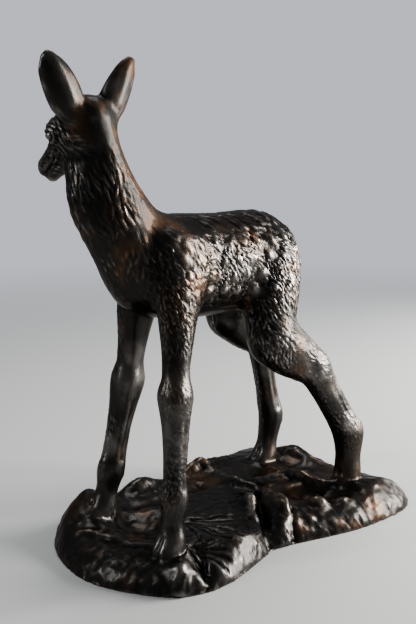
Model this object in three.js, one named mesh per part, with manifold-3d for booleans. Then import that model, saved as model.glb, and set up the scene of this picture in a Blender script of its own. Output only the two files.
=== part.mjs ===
// A cast aluminium fawn standing on a rocky mound, fawn and mound one casting.
// Millimetres, +Z up. The origin is on the ground below the fawn's barrel. The fawn faces -X,
// its left side is at -Y, and its head is turned to its right, towards +Y.
//
// The form is an implicit body, built up as a modeller builds one in clay: muscles, limbs and
// rocks are fields that are positive outside and negative inside, run into each other by smooth
// joins. The field is walked on a grid to give one closed surface, which is thinned to a light
// mesh that is finest where the form bends most, and cut off flat below.

import * as THREE from "three";
import Module from "manifold-3d";

// Driving dimensions.
const FAWN_HEIGHT = 565; // from the hooves' soles to the ear tips
const MOUND_LENGTH = 478; // along X at the ground
const MOUND_WIDTH = 298; // along Y at the ground
const MOUND_HEIGHT = 33; // from the ground to the hooves' soles
const RIM_HEIGHT = 14; // how high the mound's side stands at its outline
const SHOULDER_REACH = 52; // how far in from its outline the mound still rises
const WALL_FLARE = 0.25; // how far the mound's side leans in for each mm that it rises
const MOUND_SINK = 5; // how far the mound's even top lies below the soles, which sink into it
const MOUND_CENTRE = new THREE.Vector2(-8, -8);

// How finely the surface is walked, and how many triangles are kept.
const GRID_STEP = 4.2;
const KEPT_TRIANGLES = 9600;

// The fawn's stations below are drawn at this height, and all of them scale with its height.
const DRAWN_HEIGHT = 565;
const scale = FAWN_HEIGHT / DRAWN_HEIGHT;
const DEGREE = Math.PI / 180;

const mix = (a, b, t) => a + (b - a) * t;
const clamp = (v, lo, hi) => Math.min(hi, Math.max(lo, v));

// A point of the fawn, its height counted from the soles.
const point = (x, y, z) => new THREE.Vector3(x * scale, y * scale, MOUND_HEIGHT + z * scale);

// Fields. Each is { lo, hi, at(x, y, z) }: its box, and its distance, less than nothing inside.

function smoothMin(a, b, radius) {
  const h = Math.max(radius - Math.abs(a - b), 0) / radius;
  return Math.min(a, b) - (h * h * radius) / 4;
}

const smoothMax = (a, b, radius) => -smoothMin(-a, -b, radius);

// How far a point lies outside a field's box.
function boxDistance(field, x, y, z) {
  const dx = Math.max(field.lo.x - x, 0, x - field.hi.x);
  const dy = Math.max(field.lo.y - y, 0, y - field.hi.y);
  const dz = Math.max(field.lo.z - z, 0, z - field.hi.z);
  return Math.sqrt(dx * dx + dy * dy + dz * dz);
}

// The distance to an ellipsoid, from offsets along its axes and its radii.
function roundDistance(a, b, c, ra, rb, rc) {
  const u = a / ra;
  const v = b / rb;
  const w = c / rc;
  const e = Math.sqrt(u * u + v * v + w * w);
  const slope = Math.sqrt((u / ra) ** 2 + (v / rb) ** 2 + (w / rc) ** 2);
  return slope > 1e-9 ? ((e - 1) * e) / slope : -Math.min(ra, rb, rc);
}

// An ellipsoid with its radii along its own axes. Its first axis is dipped below the level by
// one angle and turned about the upright by the other, in degrees.
function muscle(centre, radii, dip = 0, turn = 0) {
  const [rx, ry, rz] = radii.map((r) => r * scale);
  const frame = new THREE.Matrix4().makeRotationFromEuler(
    new THREE.Euler(0, dip * DEGREE, turn * DEGREE, "ZYX"));
  const [ax, ay, az] = [0, 1, 2].map((i) => new THREE.Vector3().setFromMatrixColumn(frame, i));
  const reach = Math.max(rx, ry, rz);
  return {
    lo: centre.clone().subScalar(reach),
    hi: centre.clone().addScalar(reach),
    at(x, y, z) {
      const px = x - centre.x;
      const py = y - centre.y;
      const pz = z - centre.z;
      return roundDistance(
        px * ax.x + py * ax.y + pz * ax.z,
        px * ay.x + py * ay.y + pz * ay.z,
        px * az.x + py * az.y + pz * az.z,
        rx, ry, rz);
    },
  };
}

// A limb: an elliptical section that runs along a smooth line through its stations. A station is
// { at, across, deep, turn }: its centre, the half width across the limb, the half depth at right
// angles to that, and how far the section is turned about the upright, in degrees.
function limb(stations, stepsPerSpan = 3) {
  const centres = new THREE.CatmullRomCurve3(stations.map((s) => s.at), false, "catmullrom", 0.5);
  const sections = new THREE.CatmullRomCurve3(
    stations.map((s) => new THREE.Vector3(s.across * scale, s.deep * scale, s.turn ?? 0)),
    false, "catmullrom", 0.5);
  const count = (stations.length - 1) * stepsPerSpan;
  const nodes = [];
  for (let i = 0; i <= count; i++) {
    const tangent = centres.getTangent(i / count);
    const section = sections.getPoint(i / count);
    const side = new THREE.Vector3(Math.sin(section.z * DEGREE), Math.cos(section.z * DEGREE), 0);
    side.addScaledVector(tangent, -side.dot(tangent)).normalize();
    const front = new THREE.Vector3().crossVectors(tangent, side);
    const at = centres.getPoint(i / count);
    nodes.push({ at, side, front, tangent, across: section.x, deep: section.y });
  }
  const box = new THREE.Box3();
  for (const n of nodes) {
    const reach = Math.max(n.across, n.deep);
    box.expandByPoint(n.at.clone().subScalar(reach));
    box.expandByPoint(n.at.clone().addScalar(reach));
  }
  const along = (m, n, axis, t, x, y, z) => (
    x * mix(m[axis].x, n[axis].x, t) + y * mix(m[axis].y, n[axis].y, t) + z * mix(m[axis].z, n[axis].z, t));
  return {
    lo: box.min,
    hi: box.max,
    at(x, y, z) {
      let nearest = Infinity;
      for (let i = 0; i < count; i++) {
        const m = nodes[i];
        const n = nodes[i + 1];
        const dx = n.at.x - m.at.x;
        const dy = n.at.y - m.at.y;
        const dz = n.at.z - m.at.z;
        const dot = (x - m.at.x) * dx + (y - m.at.y) * dy + (z - m.at.z) * dz;
        const t = clamp(dot / (dx * dx + dy * dy + dz * dz), 0, 1);
        const px = x - m.at.x - dx * t;
        const py = y - m.at.y - dy * t;
        const pz = z - m.at.z - dz * t;
        const across = mix(m.across, n.across, t);
        const deep = mix(m.deep, n.deep, t);
        nearest = Math.min(nearest, roundDistance(
          along(m, n, "side", t, px, py, pz),
          along(m, n, "front", t, px, py, pz),
          along(m, n, "tangent", t, px, py, pz),
          across, deep, Math.min(across, deep)));
      }
      return nearest;
    },
  };
}

// Runs fields into each other. Each step is [field, radius of the smooth join].
function join(steps) {
  const widest = Math.max(...steps.map(([, radius]) => radius));
  const box = new THREE.Box3();
  for (const [field] of steps) box.expandByPoint(field.lo).expandByPoint(field.hi);
  return {
    lo: box.min,
    hi: box.max,
    at(x, y, z) {
      let d = Infinity;
      for (const [field, radius] of steps) {
        const away = boxDistance(field, x, y, z);
        if (away > d + radius) continue;
        // Far outside its box, the box itself says enough about a field.
        d = away > 2 * widest ? Math.min(d, away) : smoothMin(d, field.at(x, y, z), radius);
      }
      return d;
    },
  };
}

// Takes a hollow out of a field, with a soft edge.
function hollow(body, cut, radius) {
  return {
    lo: body.lo,
    hi: body.hi,
    at(x, y, z) {
      const d = body.at(x, y, z);
      return boxDistance(cut, x, y, z) > radius ? d : smoothMax(d, -cut.at(x, y, z), radius);
    },
  };
}

// Stands a field that is built in a frame of its own in the world.
function placed(field, frame) {
  const back = frame.clone().invert().elements;
  const box = new THREE.Box3(field.lo.clone(), field.hi.clone()).applyMatrix4(frame);
  return {
    lo: box.min,
    hi: box.max,
    at(x, y, z) {
      return field.at(
        back[0] * x + back[4] * y + back[8] * z + back[12],
        back[1] * x + back[5] * y + back[9] * z + back[13],
        back[2] * x + back[6] * y + back[10] * z + back[14]);
    },
  };
}

// The trunk: chest, barrel and rump along the spine, as [x, z, half width, half depth].
function trunk() {
  const sections = [
    [-168, 308, 20, 28],
    [-152, 312, 34, 44],
    [-128, 315, 43, 57],
    [-95, 316, 49, 63],
    [-50, 313, 52, 64],
    [0, 312, 51, 64],
    [40, 317, 46, 59],
    [70, 313, 38, 52],
    [90, 304, 28, 42],
    [101, 298, 16, 28],
  ];
  return limb(sections.map(([x, z, across, deep]) => ({ at: point(x, 0, z), across, deep })));
}

// The neck, which turns to the fawn's right as it rises.
function neck() {
  const sections = [
    [-126, 0, 326, 37, 44, 0],
    [-157, 2, 354, 35, 45, 4],
    [-182, 6, 388, 32, 43, 15],
    [-192, 12, 419, 30, 38, 35],
    [-194, 17, 446, 28, 33, 60],
    [-197, 21, 470, 27, 31, 85],
  ];
  return limb(sections.map(([x, y, z, across, deep, turn]) => ({ at: point(x, y, z), across, deep, turn })));
}

// A leg from its joints, top to toe. Each row of the profile is [where, half width, half depth],
// where 0 is the first joint, 1 the second and so on.
function leg(joints, profile, girth) {
  return limb(profile.map(([where, across, deep]) => {
    const i = Math.min(Math.floor(where), joints.length - 2);
    const at = joints[i].clone().lerp(joints[i + 1], where - i);
    return { at, across: across * girth, deep: deep * girth };
  }), 2);
}

// From the shoulder: elbow at 1, knee at 2, fetlock at 3, sole at 4.
const FORELEG_PROFILE = [
  [0, 18, 38],
  [0.55, 20, 35],
  [1, 18.5, 26],
  [1.35, 16.5, 20],
  [1.75, 14.5, 16],
  [2, 19, 21.5],
  [2.25, 15.5, 17],
  [2.6, 13, 14.5],
  [2.85, 13.5, 15],
  [3, 15.5, 17.5],
  [3.45, 12, 13],
  [3.75, 14, 15.5],
];

// From the stifle: hock at 1, fetlock at 2, sole at 3.
const HINDLEG_PROFILE = [
  [0.1, 24, 32],
  [0.45, 20.5, 31],
  [0.8, 16, 25],
  [1, 16, 23],
  [1.25, 15.5, 19.5],
  [1.6, 15, 18],
  [1.85, 16.5, 19.5],
  [2, 18.5, 21],
  [2.45, 14.5, 16.5],
  [2.75, 15, 17.5],
];

// The left and the right foreleg: shoulder, elbow, knee, fetlock and sole, and the leg's girth.
const FORELEGS = [
  {
    joints: [
      point(-108, -33, 345), point(-128, -46, 262), point(-146, -62, 176), point(-158, -72, 56),
      point(-168, -75, 0)],
    girth: 1,
  },
  {
    joints: [
      point(-104, 33, 345), point(-115, 43, 262), point(-123, 53, 172), point(-147, 61, 54),
      point(-161, 64, 0)],
    girth: 1.05,
  },
];

// The left and the right hind leg: hip, stifle, hock, fetlock and sole, and the leg's girth.
const HINDLEGS = [
  {
    joints: [
      point(59, -28, 318), point(25, -48, 219), point(97, -66, 167), point(164, -76, 64),
      point(158, -80, 0)],
    girth: 1.1,
  },
  {
    joints: [
      point(62, 28, 318), point(42, 46, 232), point(118, 52, 178), point(144, 52, 64),
      point(131, 52, 0)],
    girth: 0.92,
  },
];

// The thigh, broad from hip to stifle.
function thigh([hip, stifle]) {
  return limb([
    { at: hip, across: 27, deep: 38 },
    { at: hip.clone().lerp(stifle, 0.35), across: 31, deep: 42 },
    { at: hip.clone().lerp(stifle, 0.7), across: 29, deep: 39 },
    { at: stifle, across: 23, deep: 30 },
  ]);
}

// The point of the hock, which stands out behind and above the joint.
function pointOfHock([, stifle, hock, fetlock]) {
  const back = hock.clone().sub(stifle).normalize().add(hock.clone().sub(fetlock).normalize()).normalize();
  return limb([
    { at: hock.clone(), across: 12, deep: 14 },
    { at: hock.clone().addScaledVector(back, 14 * scale), across: 8.5, deep: 9 },
  ], 1);
}

// A cloven hoof over the sole: two toes side by side that point forwards.
function hoof(sole) {
  const toe = (side) => limb([
    { at: sole.clone().add(new THREE.Vector3(6, side * 7, 15).multiplyScalar(scale)), across: 8, deep: 13 },
    { at: sole.clone().add(new THREE.Vector3(-2, side * 7.5, 7).multiplyScalar(scale)), across: 9, deep: 13 },
    { at: sole.clone().add(new THREE.Vector3(-15, side * 5.5, 2).multiplyScalar(scale)), across: 7, deep: 7 },
  ], 2);
  return join([[toe(-1), 2], [toe(1), 3]]);
}

// The head is built in a frame of its own: +X along the muzzle, +Y to its left and +Z up, with
// the origin in the middle of the skull.
const HEAD_TURN = 90; // to the fawn's right
const HEAD_DROP = 26; // how far the muzzle points down
const SKULL = point(-202, 22, 486);
const EAR_FACING = 15; // how far an ear's opening is turned inwards

// The scoop that opens an ear, as shares of the ear's own half width and half depth: how far in
// front of the ear's middle it lies, how wide it is and how deep.
const SCOOP_AHEAD = 1.4;
const SCOOP_WIDTH = 0.7;
const SCOOP_DEPTH = 1.15;

const inHead = (x, y, z) => new THREE.Vector3(x, y, z).multiplyScalar(scale);

// An ear: a leaf that stands up and leans out and back, scooped out in front.
function ear(side) {
  const stations = [
    [-13, 22, 0, 15, 11],
    [-19, 31, 15, 20, 12],
    [-27, 41, 31, 19.5, 11],
    [-34, 50, 45, 15.5, 8.5],
    [-38, 56, 54, 8, 5.5],
  ];
  const turn = side * EAR_FACING;
  const blade = limb(stations.map(([x, y, z, across, deep]) => (
    { at: inHead(x, side * y, z), across, deep, turn })));
  const forwards = Math.cos(turn * DEGREE);
  const sideways = -Math.sin(turn * DEGREE);
  const scoop = limb(stations.slice(1).map(([x, y, z, across, deep]) => {
    const ahead = deep * SCOOP_AHEAD;
    const at = inHead(x + ahead * forwards, side * y + ahead * sideways, z);
    return { at, across: across * SCOOP_WIDTH, deep: deep * SCOOP_DEPTH, turn };
  }));
  return hollow(blade, scoop, 6);
}

function head() {
  const muzzle = limb([
    { at: inHead(12, 0, 0), across: 23, deep: 23 },
    { at: inHead(40, 0, -5), across: 20, deep: 20 },
    { at: inHead(64, 0, -11), across: 15, deep: 16.5 },
    { at: inHead(83, 0, -14), across: 12.5, deep: 14 },
    { at: inHead(93, 0, -14), across: 10, deep: 10.5 },
  ]);
  const jaw = limb([
    { at: inHead(-2, 0, -19), across: 18, deep: 16 },
    { at: inHead(34, 0, -25), across: 13, deep: 12 },
    { at: inHead(66, 0, -27), across: 9.5, deep: 8 },
    { at: inHead(86, 0, -28), across: 8, deep: 6 },
  ]);
  const pairs = [-1, 1].flatMap((side) => [
    [muscle(inHead(8, side * 16, -12), [23, 11, 19]), 8], // cheek
    [muscle(inHead(25, side * 22, 6), [16, 9, 9]), 6], // brow
    [muscle(inHead(33, side * 22.5, -1), [9, 6.5, 7.5]), 4], // eye
    [muscle(inHead(90, side * 5, -8), [7, 5, 5]), 3], // nostril
  ]);
  return join([
    [muscle(inHead(0, 0, 0), [34, 27, 27]), 1],
    [muscle(inHead(24, 0, 8), [24, 21, 17]), 8],
    [muzzle, 10],
    [jaw, 6],
    ...pairs,
    [ear(1), 7],
    [ear(-1), 7],
  ]);
}

function headFrame() {
  const turn = HEAD_TURN * DEGREE;
  const drop = HEAD_DROP * DEGREE;
  const muzzle = new THREE.Vector3(
    -Math.cos(turn) * Math.cos(drop), Math.sin(turn) * Math.cos(drop), -Math.sin(drop));
  const left = new THREE.Vector3(-Math.sin(turn), -Math.cos(turn), 0);
  const up = new THREE.Vector3().crossVectors(muzzle, left);
  return new THREE.Matrix4().makeBasis(muzzle, left, up).setPosition(SKULL);
}

// The rows of a fawn's spots along its flank and haunch, raised in low relief. They are laid out
// in side view, each row half a pitch on from the row below, and follow the barrel's curve.
const SPOT_RADIUS = 6;
const SPOT_RISE = 1.6;
const SPOT_PITCH = 25; // from spot to spot along a row
const ROW_PITCH = 19.5; // from row to row
const ROW_SAG = 6; // how far a row hangs down at its middle
const SPOT_ROWS = 4;
const SPOTS_FROM = point(-78, 0, 290);
const SPOTS_LENGTH = 165;

function spotted(body) {
  const spots = [];
  for (let row = 0; row < SPOT_ROWS; row++) {
    for (let along = (row % 2) / 2; along * SPOT_PITCH < SPOTS_LENGTH; along++) {
      const sag = Math.sin((along * SPOT_PITCH * Math.PI) / SPOTS_LENGTH);
      const x = SPOTS_FROM.x + along * SPOT_PITCH * scale;
      const z = SPOTS_FROM.z + (row * ROW_PITCH - ROW_SAG * sag) * scale;
      spots.push([x, z]);
    }
  }
  const radius = SPOT_RADIUS * scale;
  const lowest = SPOTS_FROM.z - (ROW_SAG + 2 * SPOT_RADIUS) * scale;
  return {
    lo: body.lo,
    hi: body.hi,
    at(x, y, z) {
      const d = body.at(x, y, z);
      if (Math.abs(d) > 2 * GRID_STEP || z < lowest || x < SPOTS_FROM.x - 2 * radius) return d;
      let rise = 0;
      for (const [sx, sz] of spots) {
        const off = ((x - sx) ** 2 + (z - sz) ** 2) / radius ** 2;
        if (off < 6) rise = Math.max(rise, SPOT_RISE * scale * Math.exp(-(off ** 2)));
      }
      return d - rise;
    },
  };
}

function fawn() {
  const steps = [
    [trunk(), 1],
    [neck(), 24],
    [muscle(point(-176, 3, 350), [24, 25, 44], -20), 20], // breast
  ];
  for (const side of [-1, 1]) {
    steps.push([muscle(point(-110, side * 34, 316), [29, 17, 46], -18), 14]); // shoulder blade
  }
  for (const { joints, girth } of FORELEGS) {
    steps.push([leg(joints, FORELEG_PROFILE, girth), 14]);
    steps.push([hoof(joints.at(-1)), 4]);
  }
  for (const { joints, girth } of HINDLEGS) {
    steps.push([thigh(joints), 16]);
    steps.push([leg(joints.slice(1), HINDLEG_PROFILE, girth), 14]);
    steps.push([pointOfHock(joints), 8]);
    steps.push([hoof(joints.at(-1)), 4]);
  }
  steps.push([muscle(point(110, 0, 290), [9, 11, 22]), 8]); // tail
  steps.push([placed(head(), headFrame()), 16]);
  return spotted(join(steps));
}

// The mound's outline at the ground, as shares of its length and width.
const OUTLINE = [
  [-0.44, 0.322], [-0.485, 0.161], [-0.5, -0.017], [-0.482, -0.141], [-0.443, -0.268],
  [-0.39, -0.376], [-0.306, -0.43], [-0.22, -0.423], [-0.11, -0.379], [-0.045, -0.359],
  [0.03, -0.389], [0.12, -0.44], [0.218, -0.483], [0.32, -0.5], [0.42, -0.495],
  [0.485, -0.43], [0.5, -0.28], [0.49, -0.057], [0.47, 0.128], [0.455, 0.295],
  [0.43, 0.436], [0.357, 0.5], [0.22, 0.456], [0.065, 0.41], [-0.11, 0.443],
  [-0.29, 0.463], [-0.395, 0.403],
];

// The rocks on top: [x, y, rise, half length, half width, turn], the places as shares of the
// mound's length and width, the rest in millimetres and degrees.
const ROCKS = [
  [-0.35, 0.31, 24, 42, 32, 20], // under the right fore hoof
  [-0.315, 0.34, 12, 18, 14, 0], // clod outside the right fore hoof
  [-0.33, -0.24, 6, 24, 20, 0], // under the left fore hoof
  [-0.27, 0.06, -12, 34, 30, 70], // basin between the fore hooves
  [-0.13, 0.36, 22, 30, 15, 0], // knob on the far side
  [0.1, 0.36, 20, 60, 16, 5], // far ridge
  [0.28, 0.22, 10, 40, 26, 10], // under the right hind hoof
  [0.39, 0.13, 20, 18, 34, 0], // clods behind the hind hooves
  [0.34, -0.25, 8, 34, 24, 0], // under the left hind hoof
  [0.1, 0.05, 10, 40, 9, 100], // ledge across the middle
  [0.26, -0.08, 10, 9, 34, 0], // ledge between the hind hooves
  [0.2, -0.19, -13, 30, 15, -25], // recess under the ledge
  [0.02, -0.1, 12, 16, 12, 60], // knob before the tongue
  [0.07, -0.24, 15, 34, 13, 60], // tongue that runs down the near side
  [0, -0.22, -11, 30, 7, 60], // gully beside the tongue
  [0.15, -0.33, 9, 15, 12, 20], // clods on the near side
  [0.22, -0.38, 8, 12, 10, 0],
  [0.37, -0.38, 10, 44, 18, 5], // smooth shoulder at the rear end
  [-0.15, -0.32, 9, 36, 15, -5], // near rim
  [-0.305, -0.36, -9, 9, 26, 20], // gully beside the left fore hoof
  [-0.37, -0.33, 8, 10, 22, 0], // buttress below the left fore hoof
];

// A place on the ground from its shares of the mound's length and width.
const onMound = (x, y) => (
  new THREE.Vector3(MOUND_CENTRE.x + x * MOUND_LENGTH, MOUND_CENTRE.y + y * MOUND_WIDTH, 0));

function mound() {
  const outline = new THREE.CatmullRomCurve3(OUTLINE.map(([x, y]) => onMound(x, y)), true)
    .getPoints(OUTLINE.length * 3).slice(1);
  const box = new THREE.Box3().setFromPoints(outline);
  const rocks = ROCKS.map(([x, y, rise, long, wide, turn]) => ({
    at: onMound(x, y),
    rise,
    long,
    wide,
    cos: Math.cos(turn * DEGREE),
    sin: Math.sin(turn * DEGREE),
  }));

  // How far a point lies outside the outline, less than nothing inside it.
  function outside(x, y) {
    let nearest = Infinity;
    let crossings = 0;
    for (let i = 0; i < outline.length; i++) {
      const a = outline[i];
      const b = outline[(i + 1) % outline.length];
      const dx = b.x - a.x;
      const dy = b.y - a.y;
      const t = clamp(((x - a.x) * dx + (y - a.y) * dy) / (dx * dx + dy * dy), 0, 1);
      nearest = Math.min(nearest, Math.hypot(x - a.x - dx * t, y - a.y - dy * t));
      if (a.y > y !== b.y > y && x < a.x + ((y - a.y) / dy) * dx) crossings++;
    }
    return crossings % 2 ? -nearest : nearest;
  }

  // The height of the mound's top.
  function top(x, y, out) {
    const inward = clamp(-out / SHOULDER_REACH, 0, 1);
    let height = mix(RIM_HEIGHT, MOUND_HEIGHT - MOUND_SINK, 1 - (1 - inward) ** 2);
    for (const rock of rocks) {
      const dx = x - rock.at.x;
      const dy = y - rock.at.y;
      const u = (dx * rock.cos + dy * rock.sin) / rock.long;
      const v = (dy * rock.cos - dx * rock.sin) / rock.wide;
      height += rock.rise * Math.exp(-(u * u + v * v));
    }
    return height;
  }

  // The mound reaches below the ground, where it is cut off flat in the end.
  const foot = -2 * GRID_STEP;
  const slope = 0.85; // turns a height above the rocks into a distance from their sides
  return {
    lo: new THREE.Vector3(box.min.x, box.min.y, foot),
    hi: new THREE.Vector3(box.max.x, box.max.y, MOUND_HEIGHT + Math.max(...rocks.map((rock) => rock.rise))),
    at(x, y, z) {
      const out = outside(x, y);
      const wall = (out + z * WALL_FLARE) / Math.hypot(1, WALL_FLARE);
      const cap = (z - top(x, y, out)) * slope;
      return smoothMax(smoothMax(wall, cap, RIM_HEIGHT), foot - z, 1);
    },
  };
}

// Walks a field on a grid of cubes, six tetrahedra to a cube, which always closes the surface.
// Cubes on the -X side of the middle are split the mirrored way, so that both ears come out alike.
// Blocks of cubes that lie well clear of the surface are passed over.
function surface(field, middleX) {
  const blockCells = 6;
  const lo = field.lo.clone().subScalar(2.5 * GRID_STEP);
  const size = field.hi.clone().addScalar(2.5 * GRID_STEP).sub(lo);
  const [nx, ny, nz] = size.toArray().map((s) => Math.ceil(s / (GRID_STEP * blockCells)) * blockCells + 1);
  const total = nx * ny * nz;
  const values = new Float32Array(total).fill(NaN);
  const vertices = [];
  const triangles = [];
  const known = new Map();

  function corner(i, j, k) {
    const n = i + nx * (j + ny * k);
    if (Number.isNaN(values[n])) {
      const v = field.at(lo.x + i * GRID_STEP, lo.y + j * GRID_STEP, lo.z + k * GRID_STEP);
      values[n] = Math.abs(v) < 1e-4 ? 1e-4 : v;
    }
    return { n, i, j, k, value: values[n] };
  }

  // The vertex where the surface crosses the edge between two corners.
  function crossing(a, b) {
    const key = a.n < b.n ? a.n * total + b.n : b.n * total + a.n;
    if (!known.has(key)) {
      const t = a.value / (a.value - b.value);
      known.set(key, vertices.length);
      vertices.push(new THREE.Vector3(mix(a.i, b.i, t), mix(a.j, b.j, t), mix(a.k, b.k, t))
        .multiplyScalar(GRID_STEP).add(lo));
    }
    return known.get(key);
  }

  function walk(corners) {
    const inside = corners.filter((c) => c.value < 0);
    const outside = corners.filter((c) => c.value >= 0);
    if (!inside.length || !outside.length) return;
    const ring = inside.length === 2
      ? [[0, 0], [0, 1], [1, 1], [1, 0]].map(([i, o]) => crossing(inside[i], outside[o]))
      : inside.flatMap((i) => outside.map((o) => crossing(i, o)));
    const [a, b, c] = ring.map((v) => vertices[v]);
    const normal = b.clone().sub(a).cross(c.clone().sub(a));
    const outwards = new THREE.Vector3(
      outside[0].i - inside[0].i, outside[0].j - inside[0].j, outside[0].k - inside[0].k);
    if (normal.dot(outwards) < 0) ring.reverse();
    triangles.push([ring[0], ring[1], ring[2]]);
    if (ring.length === 4) triangles.push([ring[0], ring[2], ring[3]]);
  }

  const OFFSETS = [[0, 0, 0], [1, 0, 0], [0, 1, 0], [1, 1, 0], [0, 0, 1], [1, 0, 1], [0, 1, 1], [1, 1, 1]];
  const MIRRORED = OFFSETS.map(([a, b, c]) => [1 - a, b, c]);
  const TETRAHEDRA = [[0, 1, 3, 7], [0, 3, 2, 7], [0, 2, 6, 7], [0, 6, 4, 7], [0, 4, 5, 7], [0, 5, 1, 7]];
  const half = (blockCells * GRID_STEP) / 2;
  for (let bi = 0; bi < nx - 1; bi += blockCells) {
    for (let bj = 0; bj < ny - 1; bj += blockCells) {
      for (let bk = 0; bk < nz - 1; bk += blockCells) {
        const middle = field.at(
          lo.x + bi * GRID_STEP + half, lo.y + bj * GRID_STEP + half, lo.z + bk * GRID_STEP + half);
        if (Math.abs(middle) > 3 * half) continue;
        for (let n = 0; n < blockCells ** 3; n++) {
          const i = bi + (n % blockCells);
          const j = bj + (Math.floor(n / blockCells) % blockCells);
          const k = bk + Math.floor(n / blockCells ** 2);
          const offsets = lo.x + i * GRID_STEP < middleX ? MIRRORED : OFFSETS;
          const corners = offsets.map(([a, b, c]) => corner(i + a, j + b, k + c));
          const inside = corners.filter((c) => c.value < 0).length;
          if (inside === 0 || inside === 8) continue;
          for (const tetrahedron of TETRAHEDRA) walk(tetrahedron.map((c) => corners[c]));
        }
      }
    }
  }
  return { vertices, triangles };
}

// A symmetric quadric, the sum of squared distances to planes, as its ten numbers.
function planeQuadric(n, d, weight) {
  const [a, b, c] = n.toArray();
  return [a * a, a * b, a * c, a * d, b * b, b * c, b * d, c * c, c * d, d * d].map((q) => q * weight);
}

function quadricAt(q, p) {
  const { x, y, z } = p;
  return q[0] * x * x + 2 * q[1] * x * y + 2 * q[2] * x * z + 2 * q[3] * x
    + q[4] * y * y + 2 * q[5] * y * z + 2 * q[6] * y + q[7] * z * z + 2 * q[8] * z + q[9];
}

// The point where a quadric is least, or nothing where it has no clear least point.
function quadricLeast(q) {
  const m = new THREE.Matrix3().set(q[0], q[1], q[2], q[1], q[4], q[5], q[2], q[5], q[7]);
  const size = (q[0] + q[4] + q[7]) / 3;
  if (Math.abs(m.determinant()) < 1e-3 * size ** 3) return null;
  return new THREE.Vector3(-q[3], -q[6], -q[8]).applyMatrix3(m.invert());
}

// Thins a closed mesh by drawing its edges together, those first that change the form least.
function thin({ vertices, triangles }, kept) {
  const faces = triangles.map((t) => [...t]);
  const around = vertices.map(() => new Set());
  const quadrics = vertices.map(() => new Array(10).fill(0));
  const version = new Uint32Array(vertices.length);
  const normalOf = (a, b, c) => b.clone().sub(a).cross(c.clone().sub(a));
  faces.forEach((face, f) => {
    const [a, b, c] = face.map((v) => vertices[v]);
    const normal = normalOf(a, b, c);
    const area = normal.length();
    normal.divideScalar(area || 1);
    const q = planeQuadric(normal, -normal.dot(a), area);
    for (const v of face) {
      around[v].add(f);
      for (let i = 0; i < 10; i++) quadrics[v][i] += q[i];
    }
  });

  const neighbours = (v) => {
    const ring = new Set();
    for (const f of around[v]) for (const w of faces[f]) if (w !== v) ring.add(w);
    return ring;
  };

  // A heap of the edges, the cheapest on top.
  const heap = [];
  function push(a, b) {
    const q = quadrics[a].map((value, i) => value + quadrics[b][i]);
    const middle = vertices[a].clone().lerp(vertices[b], 0.5);
    const reach = vertices[a].distanceTo(vertices[b]);
    let at = quadricLeast(q);
    if (!at || at.distanceTo(middle) > reach) at = middle;
    const entry = { a, b, at, cost: quadricAt(q, at), stamp: version[a] + version[b] };
    let i = heap.push(entry) - 1;
    while (i > 0) {
      const up = (i - 1) >> 1;
      if (heap[up].cost <= entry.cost) break;
      heap[i] = heap[up];
      i = up;
    }
    heap[i] = entry;
  }
  function pop() {
    const first = heap[0];
    const last = heap.pop();
    if (!heap.length) return first;
    let i = 0;
    for (;;) {
      let down = 2 * i + 1;
      if (down >= heap.length) break;
      if (down + 1 < heap.length && heap[down + 1].cost < heap[down].cost) down++;
      if (heap[down].cost >= last.cost) break;
      heap[i] = heap[down];
      i = down;
    }
    heap[i] = last;
    return first;
  }

  // Whether the faces around a vertex, but for those it shares with the other, keep their side.
  function keepsSides(v, other, at) {
    for (const f of around[v]) {
      const face = faces[f];
      if (face.includes(other)) continue;
      const before = face.map((w) => vertices[w]);
      const after = face.map((w) => (w === v ? at : vertices[w]));
      const n = normalOf(...before).normalize();
      const m = normalOf(...after).normalize();
      if (n.dot(m) < 0.3) return false;
    }
    return true;
  }

  vertices.forEach((_, a) => {
    for (const b of neighbours(a)) if (a < b) push(a, b);
  });
  let count = faces.length;
  while (count > kept && heap.length) {
    const { a, b, at, stamp } = pop();
    if (!around[a].size || !around[b].size || stamp !== version[a] + version[b]) continue;
    const ring = neighbours(b);
    if (!ring.has(a)) continue;
    const shared = [...neighbours(a)].filter((v) => ring.has(v));
    if (shared.length !== 2 || !keepsSides(a, b, at) || !keepsSides(b, a, at)) continue;
    for (const f of around[b]) {
      if (faces[f].includes(a)) {
        for (const v of faces[f]) if (v !== b) around[v].delete(f);
        faces[f] = null;
        count--;
      } else {
        faces[f] = faces[f].map((v) => (v === b ? a : v));
        around[a].add(f);
      }
    }
    around[b] = new Set();
    vertices[a] = at;
    quadrics[a] = quadrics[a].map((value, i) => value + quadrics[b][i]);
    version[a]++;
    version[b]++;
    for (const v of neighbours(a)) push(a, v);
  }
  return { vertices, triangles: faces.filter(Boolean) };
}

const wasm = await Module();
wasm.setup();

// A closed mesh as a solid. Vertices that no triangle uses are dropped.
function solid({ vertices, triangles }) {
  const used = new Map();
  const kept = [];
  const indices = triangles.flat().map((v) => {
    if (!used.has(v)) {
      used.set(v, used.size);
      kept.push(...vertices[v].toArray());
    }
    return used.get(v);
  });
  return new wasm.Manifold(new wasm.Mesh({
    numProp: 3, vertProperties: new Float32Array(kept), triVerts: new Uint32Array(indices) }));
}

// A box from its corners, as a solid.
function block(lo, hi) {
  const corners = [];
  for (let n = 0; n < 8; n++) {
    corners.push(new THREE.Vector3(n & 1 ? hi.x : lo.x, n & 2 ? hi.y : lo.y, n & 4 ? hi.z : lo.z));
  }
  const quads = [[0, 2, 3, 1], [4, 5, 7, 6], [0, 1, 5, 4], [2, 6, 7, 3], [0, 4, 6, 2], [1, 3, 7, 5]];
  return solid({ vertices: corners, triangles: quads.flatMap(([a, b, c, d]) => [[a, b, c], [a, c, d]]) });
}

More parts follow.
